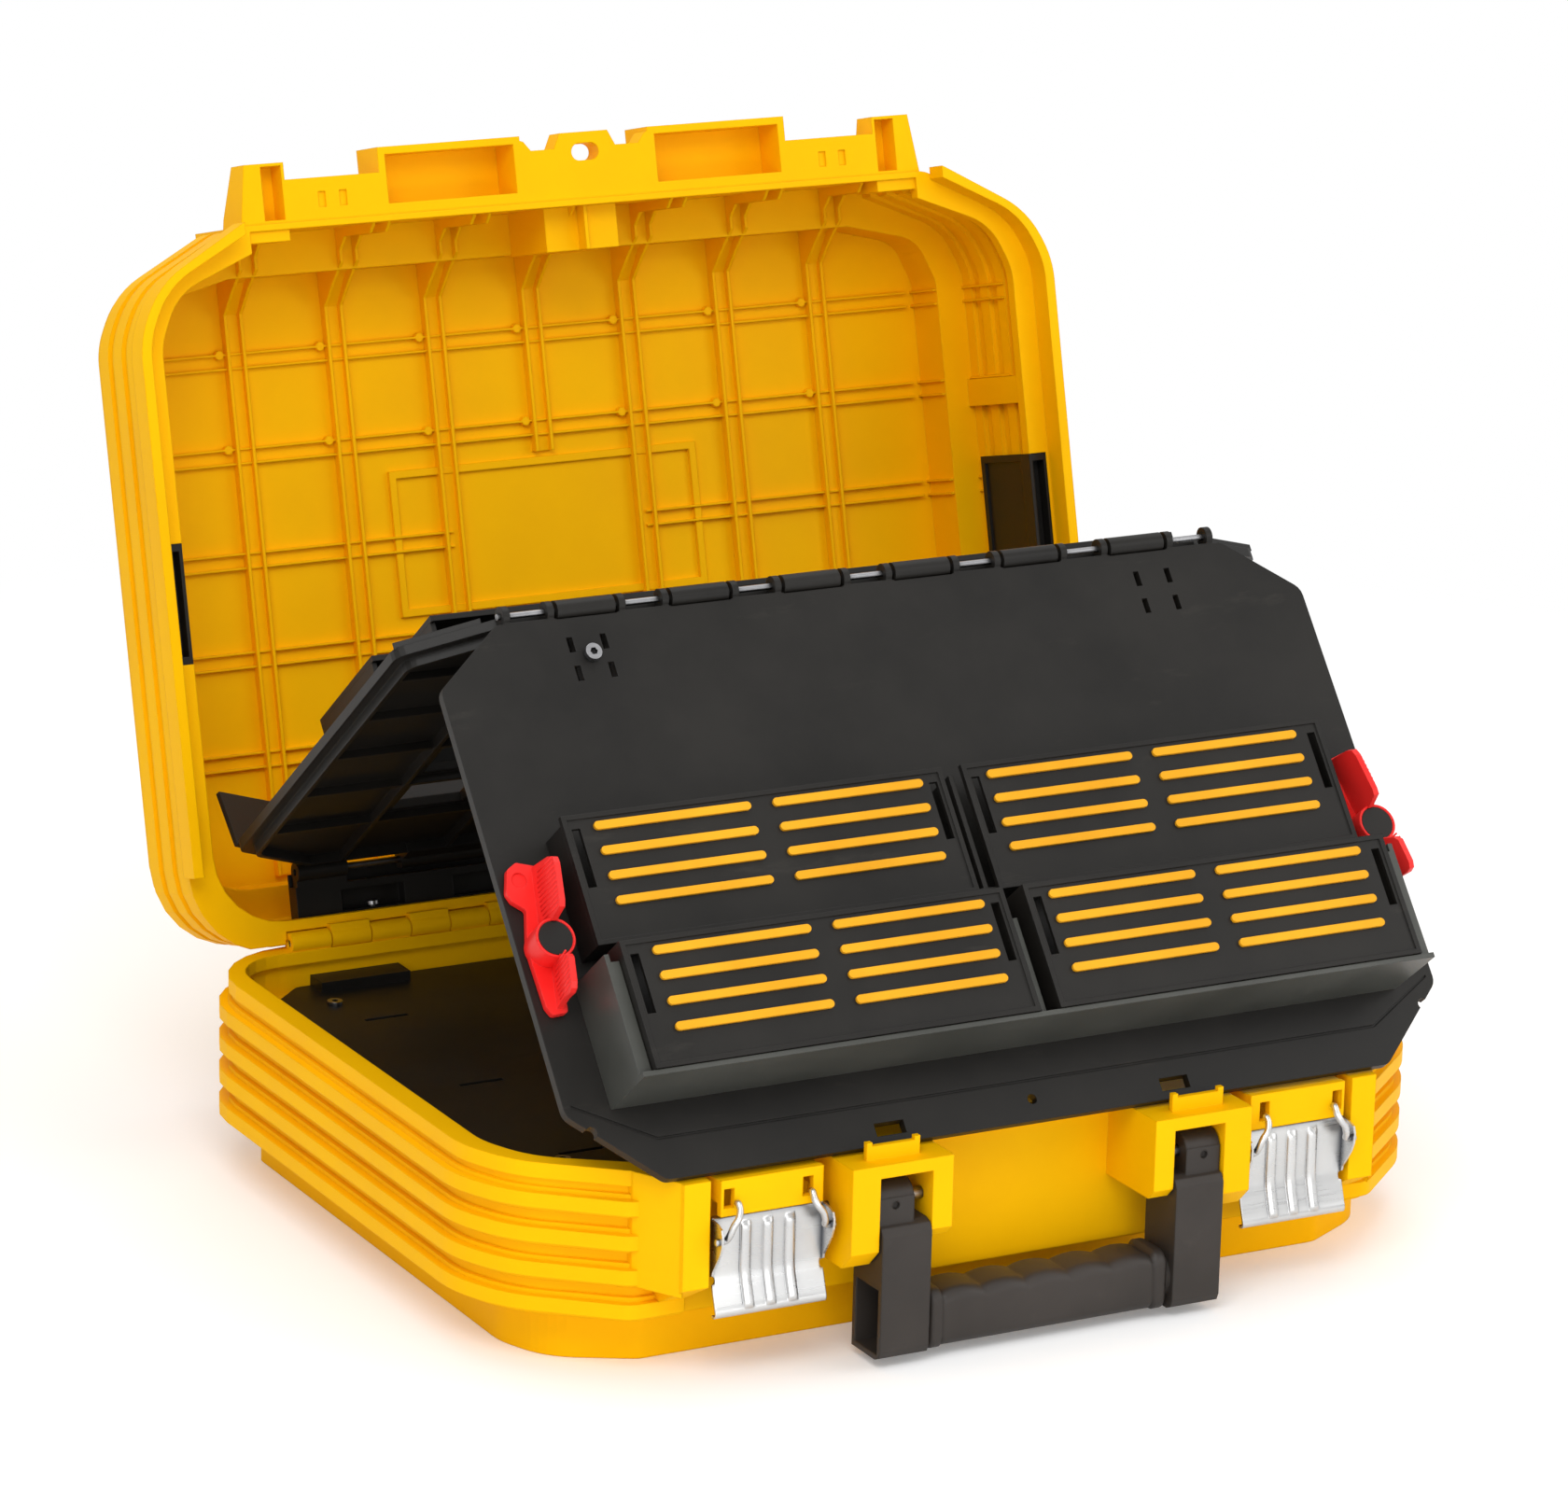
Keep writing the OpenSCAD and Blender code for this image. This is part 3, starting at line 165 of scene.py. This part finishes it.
def rgb(r, g, b):
    return (r, g, b, 1.0)


plain = {
    "grainScale": 2600, "cloudScale": 14, "scuffScale": 30, "scuffStretch": (1, 1, 1), "scuffFrom": 0.62,
    "scuffAmount": 0.2, "rough": 0.42, "edge": 0.0007, "grain": 0.12, "shine": 0.35,
}

# the reach below is how far from a crease the painted shade spreads
plated = {
    "lines": (0.03, 1, 1), "lineScale": 900, "cloudScale": 20, "paintedShadeReach": 0.005, "edge": 0.0003, "grain": 0.05,
}

looks = {
    "yellow_shell": plastic("yellowShell", {**plain, "dark": rgb(0.93, 0.475, 0.0), "light": rgb(0.97, 0.51, 0.0),
                            "dust": rgb(0.99, 0.6, 0.01), "rough": 0.5, "edge": 0.0011, "shine": 0.06,
                            "scuffAmount": 0.06}),
    "black_plastic": plastic("blackPlastic", {**plain, "dark": rgb(0.0085, 0.0076, 0.0064),
                             "light": rgb(0.0135, 0.012, 0.01), "dust": rgb(0.075, 0.066, 0.052), "shine": 0.28,
                             "scuffStretch": (0.25, 1, 1), "scuffScale": 55}),
    "smoky_tray": plastic("smokyTray", {**plain, "dark": rgb(0.042, 0.043, 0.037), "light": rgb(0.062, 0.063, 0.055),
                          "dust": rgb(0.11, 0.11, 0.1), "rough": 0.34, "shine": 0.45}),
    "dark_handle": plastic("darkHandle", {**plain, "dark": rgb(0.026, 0.021, 0.0175),
                           "light": rgb(0.038, 0.031, 0.0265), "dust": rgb(0.1, 0.085, 0.075), "rough": 0.46,
                           "edge": 0.0015}),
    "orange_stripe": plastic("orangeStripe", {**plain, "dark": rgb(0.7, 0.31, 0.006), "light": rgb(0.8, 0.37, 0.01),
                             "dust": rgb(0.6, 0.26, 0.03), "rough": 0.45, "edge": 0.0006, "shine": 0.2}),
    "red_clamp": plastic("redClamp", {**plain, "dark": rgb(0.8, 0.016, 0.014), "light": rgb(0.88, 0.03, 0.026),
                         "dust": rgb(0.95, 0.08, 0.07), "rough": 0.34, "shine": 0.25}),
    # the crease colour of each metal is painted shade laid into its creases
    "bright_zinc": metal("brightZinc", {**plated, "dark": rgb(0.6, 0.6, 0.6), "light": rgb(0.72, 0.72, 0.71),
                         "paintedCreaseShade": rgb(0.16, 0.17, 0.19), "rough": 0.3}),
    "steel_wire": metal("steelWire", {**plated, "dark": rgb(0.28, 0.28, 0.29), "light": rgb(0.44, 0.44, 0.45),
                        "paintedCreaseShade": rgb(0.08, 0.08, 0.08), "rough": 0.32}),
}

nodeSlots = {part["node"]: part["material_slot"] for part in frame["record"]["subparts"]}
for nodeName, obj in frame["nodes"].items():
    obj.data.materials.clear()
    obj.data.materials.append(looks[nodeSlots[nodeName]])
print("materials made")


def addMesh(name, verts, faces, slotName, body, replaced=(), smooth=True, thick=0.0):
    mesh = bpy.data.meshes.new(name)
    mesh.from_pydata([tuple(v) for v in verts], [], faces)
    mesh.validate()
    mesh.update()
    obj = bpy.data.objects.new(name, mesh)
    bpy.context.scene.collection.objects.link(obj)
    mesh.materials.append(looks[slotName])
    if thick:
        solid = obj.modifiers.new("thick", "SOLIDIFY")
        solid.thickness, solid.offset = thick, 0
    for face in mesh.polygons:
        face.use_smooth = smooth
    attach(obj, body)
    if replaced:
        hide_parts(*replaced)
    return obj


def smoothPath(points, steps=8):
    # Catmull-Rom curve through the points
    pts = [Vector(p) for p in points]
    pts = [pts[0] * 2 - pts[1]] + pts + [pts[-1] * 2 - pts[-2]]
    out = []
    for a, b, c, d in zip(pts, pts[1:], pts[2:], pts[3:]):
        for i in range(steps):
            t = i / steps
            out.append(0.5 * (2 * b + (c - a) * t + (2 * a - 5 * b + 4 * c - d) * t * t
                              + (3 * b - a - 3 * c + d) * t ** 3))
    out.append(pts[-2])
    return out


def tubeParts(path, radius, sides=14):
    # verts and faces of a round wire along path, with closed ends
    verts, faces = [], []
    normal = None
    for i, p in enumerate(path):
        ahead = (path[min(i + 1, len(path) - 1)] - path[max(i - 1, 0)]).normalized()
        if normal is None:
            normal = ahead.orthogonal().normalized()
        normal = (normal - ahead * normal.dot(ahead)).normalized()
        side = ahead.cross(normal)
        for k in range(sides):
            a = 2 * math.pi * k / sides
            verts.append(p + normal * (radius * math.cos(a)) + side * (radius * math.sin(a)))
    for i in range(len(path) - 1):
        for k in range(sides):
            j = (k + 1) % sides
            faces.append((i * sides + k, i * sides + j, (i + 1) * sides + j, (i + 1) * sides + k))
    faces.append(tuple(range(sides - 1, -1, -1)))
    last = (len(path) - 1) * sides
    faces.append(tuple(range(last, last + sides)))
    return verts, faces


def joined(parts):
    # several (verts, faces) made into one
    verts, faces = [], []
    for v, f in parts:
        faces += [tuple(i + len(verts) for i in face) for face in f]
        verts += list(v)
    return verts, faces


# low bands between the lid's thin ribs
lidBands = {
    "hinge": (0.1780, 0.1064),          # back and up
    "lean": 14.3,
    "shift": (-0.0016, 0.0140),       # from the hinge to the lid's own back edge and mouth
    "across": (-0.174, -0.116, -0.058, 0, 0.058, 0.116, 0.174),
    "half": 0.0045,
    "start": 0.03,
    "middleStart": 0.239,
    # top line from the floor up to the ledge: from the back edge, depth; then the same line under it
    "top": [(0.3266, -0.102), (0.3426, -0.088), (0.348, -0.0765)],
    "under": [(0.3276, -0.1043), (0.3446, -0.0895), (0.3505, -0.0778)],
}


def addLidBands(spec):
    lidFrame = (Matrix.Translation((0, *spec["hinge"])) @ Matrix.Rotation(math.radians(90 - spec["lean"]), 4, "X")
                @ Matrix.Translation((0, *spec["shift"])))
    parts = []
    for u in spec["across"]:
        start = spec["start"] if u else spec["middleStart"]
        top = [(start, -0.102)] + spec["top"]
        under = [(start, -0.1043)] + spec["under"]
        verts = []
        for (a, b), (c, d) in zip(top, under):
            for edge, back, depth in ((-1, a, b), (1, a, b), (1, c, d), (-1, c, d)):
                verts.append(lidFrame @ Vector((u + edge * spec["half"], back, depth)))
        faces = [(0, 1, 2, 3), (15, 14, 13, 12)]
        for i in range(0, 12, 4):
            faces += [(i + k, i + 4 + k, i + 4 + (k + 1) % 4, i + (k + 1) % 4) for k in range(4)]
        parts.append((verts, faces))
    verts, faces = joined(parts)
    addMesh("lidBands", verts, faces, "yellow_shell", "lid", smooth=False)


addLidBands(lidBands)

hooks = {
    "wire": 0.0017,
    # one hook seen from the ear inwards: across, forward of the eye, above the eye
    "bend": [(-0.0028, 0, 0), (0.0006, 0, 0), (0.0028, -0.0006, 0.0008), (0.0036, -0.0022, 0.0036),
             (0.0052, -0.0028, 0.0078), (0.0078, -0.0026, 0.0112), (0.0092, -0.0012, 0.0146),
             (0.0093, 0.0006, 0.0172), (0.0092, 0.0021, 0.0176)],
    "eye": (-0.225, 0.074),
    "ears": (0.1168, 0.1748),
}


def addHooks(spec, side, body, node):
    parts = []
    for ear, inward in zip(spec["ears"], (1, -1)):
        pts = [(side * (ear + inward * x), spec["eye"][0] + y, spec["eye"][1] + z) for x, y, z in spec["bend"]]
        parts.append(tubeParts(smoothPath(pts), spec["wire"]))
    verts, faces = joined(parts)
    addMesh(node + "Wire", verts, faces, "bright_zinc", body, (node,))


addHooks(hooks, -1, "left_hooks", "hooks_left")
addHooks(hooks, 1, "right_hooks", "hooks_right")

# sleeve of the carry handle
grip = {
    "half": 0.0657,
    "centre": (-0.2215, 0.0198),
    "deep": 0.0136,             # half, front to back
    "tall": 0.0152,             # half, up and down
    "corner": 0.0062,
    "dip": 0.0022,              # depth of the finger hollows
    "fingers": 5,
    "collar": 0.0065,
    "groove": 0.0013,           # width and depth of the groove beside a collar
    "slack": 0.0006,            # how much thinner the waved part is than the collars
    "chamfer": 0.0012,          # rounding of the two ends
    "rings": 132,
    "perCorner": 10,
}


def addGrip(spec):
    # rounded upright sections along x, hollowed between the fingers on the top and the front's upper edge
    rings, perCorner = spec["rings"], spec["perCorner"]
    groove, chamfer = spec["groove"], spec["chamfer"]
    verts, faces = [], []
    sides = 4 * perCorner
    inner = spec["half"] - spec["collar"]
    for i in range(rings + 1):
        x = -spec["half"] + 2 * spec["half"] * i / rings
        atCollar = abs(x) > inner
        wave = 1 if atCollar else abs(math.sin(math.pi * (x + inner) / (2 * inner) * spec["fingers"])) ** 0.8
        inGroove = inner - groove < abs(x) < inner + 0.0001
        less = groove if inGroove else 0 if atCollar else spec["slack"]
        less += chamfer * max(0, 1 - (spec["half"] - abs(x)) / chamfer)
        hy, hz, c = spec["deep"] - less, spec["tall"] - less, spec["corner"]
        for q, (sy, sz) in enumerate(((1, 1), (-1, 1), (-1, -1), (1, -1))):
            for k in range(perCorner):
                a = math.pi / 2 * (q + k / (perCorner - 1))
                y = sy * (hy - c) + c * math.cos(a)
                z = sz * (hz - c) + c * math.sin(a)
                dip = 0 if atCollar else spec["dip"] * (1 - wave) * max(0, (z / hz) * 0.9 + 0.1)
                verts.append((x, spec["centre"][0] + y * (1 - 0.3 * dip / hy), spec["centre"][1] + z - dip))
    for i in range(rings):
        for k in range(sides):
            j = (k + 1) % sides
            faces.append((i * sides + k, i * sides + j, (i + 1) * sides + j, (i + 1) * sides + k))
    faces.append(tuple(range(sides - 1, -1, -1)))
    last = rings * sides
    faces.append(tuple(range(last, last + sides)))
    addMesh("gripSleeve", verts, faces, "dark_handle", "carry_handle", ("handle_grip",))


addGrip(grip)
print("handle and hooks added")

# sheet plate, ears and barrel of a latch
latch = {
    "across": (0.1162, 0.1754),
    "sheet": 0.0011,
    # side line of the sheet from the top edge down to the curled lip: y, z
    "line": [(-0.2167, 0.0832), (-0.2167, 0.0760), (-0.2167, 0.0660), (-0.2168, 0.0560), (-0.2177, 0.0510),
             (-0.2194, 0.0455), (-0.2212, 0.0402), (-0.2222, 0.0374), (-0.2219, 0.0355), (-0.2203, 0.0346),
             (-0.2188, 0.0350)],
    "beads": (0.1340, 0.1458, 0.1576),
    "beadHalf": 0.0026,
    "beadHigh": 0.0019,
    "beadRange": (0.0375, 0.0795),     # lowest and highest point of a bead
    "beadRun": 0.003,                  # length over which a bead's end rises
    "notch": (0.0505, 0.0545, 0.0016),  # from, to and depth of the notch below the ears
    "barrel": (-0.211, 0.078, 0.0036, 0.004),      # y, z, radius and inset from the ears
    "steps": 160,
    "ear": [(-0.2165, 0.0826), (-0.2225, 0.0822), (-0.2272, 0.0806), (-0.2284, 0.0772), (-0.2281, 0.0722),
            (-0.2262, 0.0675), (-0.2222, 0.0615), (-0.2192, 0.0572), (-0.2186, 0.0548), (-0.2168, 0.0540)],
}


def addLatch(spec, side, body, node):
    lo, hi = spec["across"]
    line = smoothPath([(0, y, z) for y, z in spec["line"]], 5)
    steps = spec["steps"]
    xs = [lo + (hi - lo) * i / steps for i in range(steps + 1)]
    beadFrom, beadTo = spec["beadRange"]
    notchLow, notchHigh, notchDeep = spec["notch"]
    verts, faces = [], []
    for p in line:
        for x in xs:
            lift = 0
            for bead in spec["beads"]:
                across = math.sqrt(max(0, 1 - (abs(x - bead) / spec["beadHalf"]) ** 2))
                run = min(p.z - beadFrom, beadTo - p.z) / spec["beadRun"]
                along = min(1, max(0, run))
                lift = max(lift, across * math.sin(along * math.pi / 2))
            # the sheet is a little narrower below the ears
            narrow = notchDeep if notchLow < p.z < notchHigh else 0
            px = min(max(x, lo + narrow), hi - narrow)
            verts.append((side * px, p.y - lift * spec["beadHigh"], p.z))
    w = len(xs)
    for i in range(len(line) - 1):
        for k in range(w - 1):
            quad = (i * w + k, i * w + k + 1, (i + 1) * w + k + 1, (i + 1) * w + k)
            faces.append(quad if side > 0 else quad[::-1])
    addMesh(node + "Sheet", verts, faces, "bright_zinc", body, (node,), thick=spec["sheet"])
    parts = []
    for x in (lo, hi):
        rim = [(side * x, y, z) for y, z in spec["ear"]]
        parts.append((rim, [tuple(range(len(rim)))]))
    verts, faces = joined(parts)
    addMesh(node + "Ears", verts, faces, "bright_zinc", body, thick=spec["sheet"], smooth=False)
    y, z, radius, inset = spec["barrel"]
    verts, faces = tubeParts([Vector((side * x, y, z)) for x in (lo + inset, hi - inset)], radius, 28)
    addMesh(node + "Barrel", verts, faces, "bright_zinc", body)


addLatch(latch, -1, "left_latch", "latch_plate_left")
addLatch(latch, 1, "right_latch", "latch_plate_right")

# fine ribs and cap ring of the red clamps
clamp = {
    "pivot": (0.2285, 0.1196),          # across and up the front panel
    "ribPitch": 0.0024,
    "ribWire": 0.0005,
    # each blade: across, up and out of its foot, lean, turn, then rib rows as first and last up, low and high end
    "blades": {
        "upper": ((-0.0032, 0.025, 0.002), -3, 9, (-0.0135, 0.0125), (0.0065, 0.0262)),
        "lower": ((0.0, -0.020, 0.001), 4.5, 9, (-0.0085, 0.0085), (0.0075, 0.0275)),
    },
    "blade": 0.0015,                    # half a blade's thickness
    "rim": (0.0094, 0.0164, 0.0006),    # radius, height and thickness of the bead round the cap
    "foot": (-0.2183, 0.1066),          # back and up, where the panel's face starts
}
clampNormal = Vector(next(j for j in frame["joints"] if j["name"] == "clamp_right_turn")["axis"]).normalized()
if clampNormal.y > 0:
    clampNormal.negate()
panelFrame = Matrix.Translation((0, *clamp["foot"])) @ Matrix.Rotation(math.acos(clampNormal.z), 4, "X")


def addClampDetail(spec, side, body, node):
    # across grows away from the case's middle
    def place(p):
        return panelFrame @ Vector((side * (spec["pivot"][0] + p.x), spec["pivot"][1] + p.y, p.z))

    parts = []
    for foot, lean, turn, rows, span in spec["blades"].values():
        stand = (Matrix.Translation(foot) @ Matrix.Rotation(math.radians(turn), 4, "Z")
                 @ Matrix.Rotation(math.radians(lean), 4, "Y"))
        count = int((rows[1] - rows[0]) / spec["ribPitch"]) + 1
        for i in range(count):
            up = rows[0] + i * spec["ribPitch"]
            # the outer rows are shorter, as the blade's corners are round
            short = 0.004 * max(0, abs(2 * i / (count - 1) - 1) - 0.55)
            ends = [place(stand @ Vector((spec["blade"], up + 0.0009 * k, z))) for k, z in
                    ((0, span[0] + short), (1, span[1] - short))]
            parts.append(tubeParts(ends, spec["ribWire"], 8))
    r, high, wire = spec["rim"]
    ring = [place(Vector((r * math.cos(a), r * math.sin(a), high)))
            for a in (2 * math.pi * k / 48 for k in range(49))]
    parts.append(tubeParts(ring, wire, 8))
    verts, faces = joined(parts)
    addMesh(node + "Ribs", verts, faces, "red_clamp", body)


addClampDetail(clamp, -1, "left_clamp", "clamp_left")
addClampDetail(clamp, 1, "right_clamp", "clamp_right")
print("latches and clamps added")

studio = {
    "floorHalf": 6.0,
    "floorTone": 0.9,
    "floorLift": 0.16,          # white added to the floor as the camera sees it
    "floorFade": (0.55, 1.3),   # metres from the middle, from lit floor to plain white
    "worldTone": 1.0,           # plain white behind the object
    "worldLight": 0.7,          # how much of that white lights it
}


def addFloor(spec):
    h = spec["floorHalf"]
    mesh = bpy.data.meshes.new("floor")
    mesh.from_pydata([(-h, -h, 0), (h, -h, 0), (h, h, 0), (-h, h, 0)], [], [(0, 1, 2, 3)])
    floor = bpy.data.objects.new("floor", mesh)
    bpy.context.scene.collection.objects.link(floor)
    floor.location.z = -0.0002
    mat = bpy.data.materials.new("floor")
    n = Nodes(mat)
    where = n.add("ShaderNodeTexCoord").outputs["Object"]
    cloud = n.noise(where, 1.2, 3)
    t = spec["floorTone"]
    tone = n.mix(cloud.outputs["Fac"], rgb(t - 0.01, t - 0.01, t - 0.01), rgb(t, t, t))
    diffuse = n.add("ShaderNodeBsdfPrincipled", {"Base Color": tone, "Roughness": 0.9, "Specular IOR Level": 0.1})
    lift = n.add("ShaderNodeEmission", {"Color": rgb(1, 1, 1), "Strength": spec["floorLift"]})
    lit = n.add("ShaderNodeAddShader", {0: diffuse.outputs[0], 1: lift.outputs[0]})
    white = n.add("ShaderNodeEmission", {"Color": rgb(1, 1, 1), "Strength": spec["worldTone"]})
    far = n.span(n.add("ShaderNodeVectorMath", {0: where}, operation="LENGTH").outputs["Value"], *spec["floorFade"])
    shown = n.add("ShaderNodeMixShader", {0: far, 1: lit.outputs[0], 2: white.outputs[0]})
    path = n.add("ShaderNodeLightPath")
    both = n.add("ShaderNodeMixShader", {0: path.outputs["Is Camera Ray"], 1: diffuse.outputs[0],
                                         2: shown.outputs[0]})
    n.add("ShaderNodeOutputMaterial", {"Surface": both.outputs[0]})
    mesh.materials.append(mat)


def setWorld(spec):
    world = bpy.data.worlds.new("studio")
    bpy.context.scene.world = world
    n = Nodes(world)
    path = n.add("ShaderNodeLightPath")
    seen = n.add("ShaderNodeBackground", {"Color": rgb(1, 1, 1), "Strength": spec["worldTone"]})
    fill = n.add("ShaderNodeBackground", {"Color": rgb(1, 1, 1), "Strength": spec["worldLight"]})
    both = n.add("ShaderNodeMixShader", {0: path.outputs["Is Camera Ray"], 1: fill.outputs[0], 2: seen.outputs[0]})
    n.add("ShaderNodeOutputWorld", {"Surface": both.outputs[0]})


# place, aim, size and watts of each lamp
lamps = {
    "keyLight": ((-1.2, -1.6, 2.2), (0, 0, 0.2), (1.6, 1.2), 27),
    "fillLight": ((1.8, -1.4, 1.2), (0, 0, 0.2), (1.4, 1.4), 11),
    "topLight": ((0.2, 0.4, 2.6), (0, 0, 0.2), (2.2, 1.6), 17),
    "lowLight": ((-0.3, -1.3, 0.25), (0, -0.1, 0.15), (1.6, 0.3), 4),
}


def addLight(name, place, aim, size, watts):
    data = bpy.data.lights.new(name, "AREA")
    data.shape = "RECTANGLE"
    data.size, data.size_y = size
    data.energy = watts
    light = bpy.data.objects.new(name, data)
    bpy.context.scene.collection.objects.link(light)
    light.location = place
    light.rotation_euler = (Vector(aim) - Vector(place)).to_track_quat("-Z", "Y").to_euler()


addFloor(studio)
setWorld(studio)
for lamp, values in lamps.items():
    addLight(lamp, *values)
print("studio set")
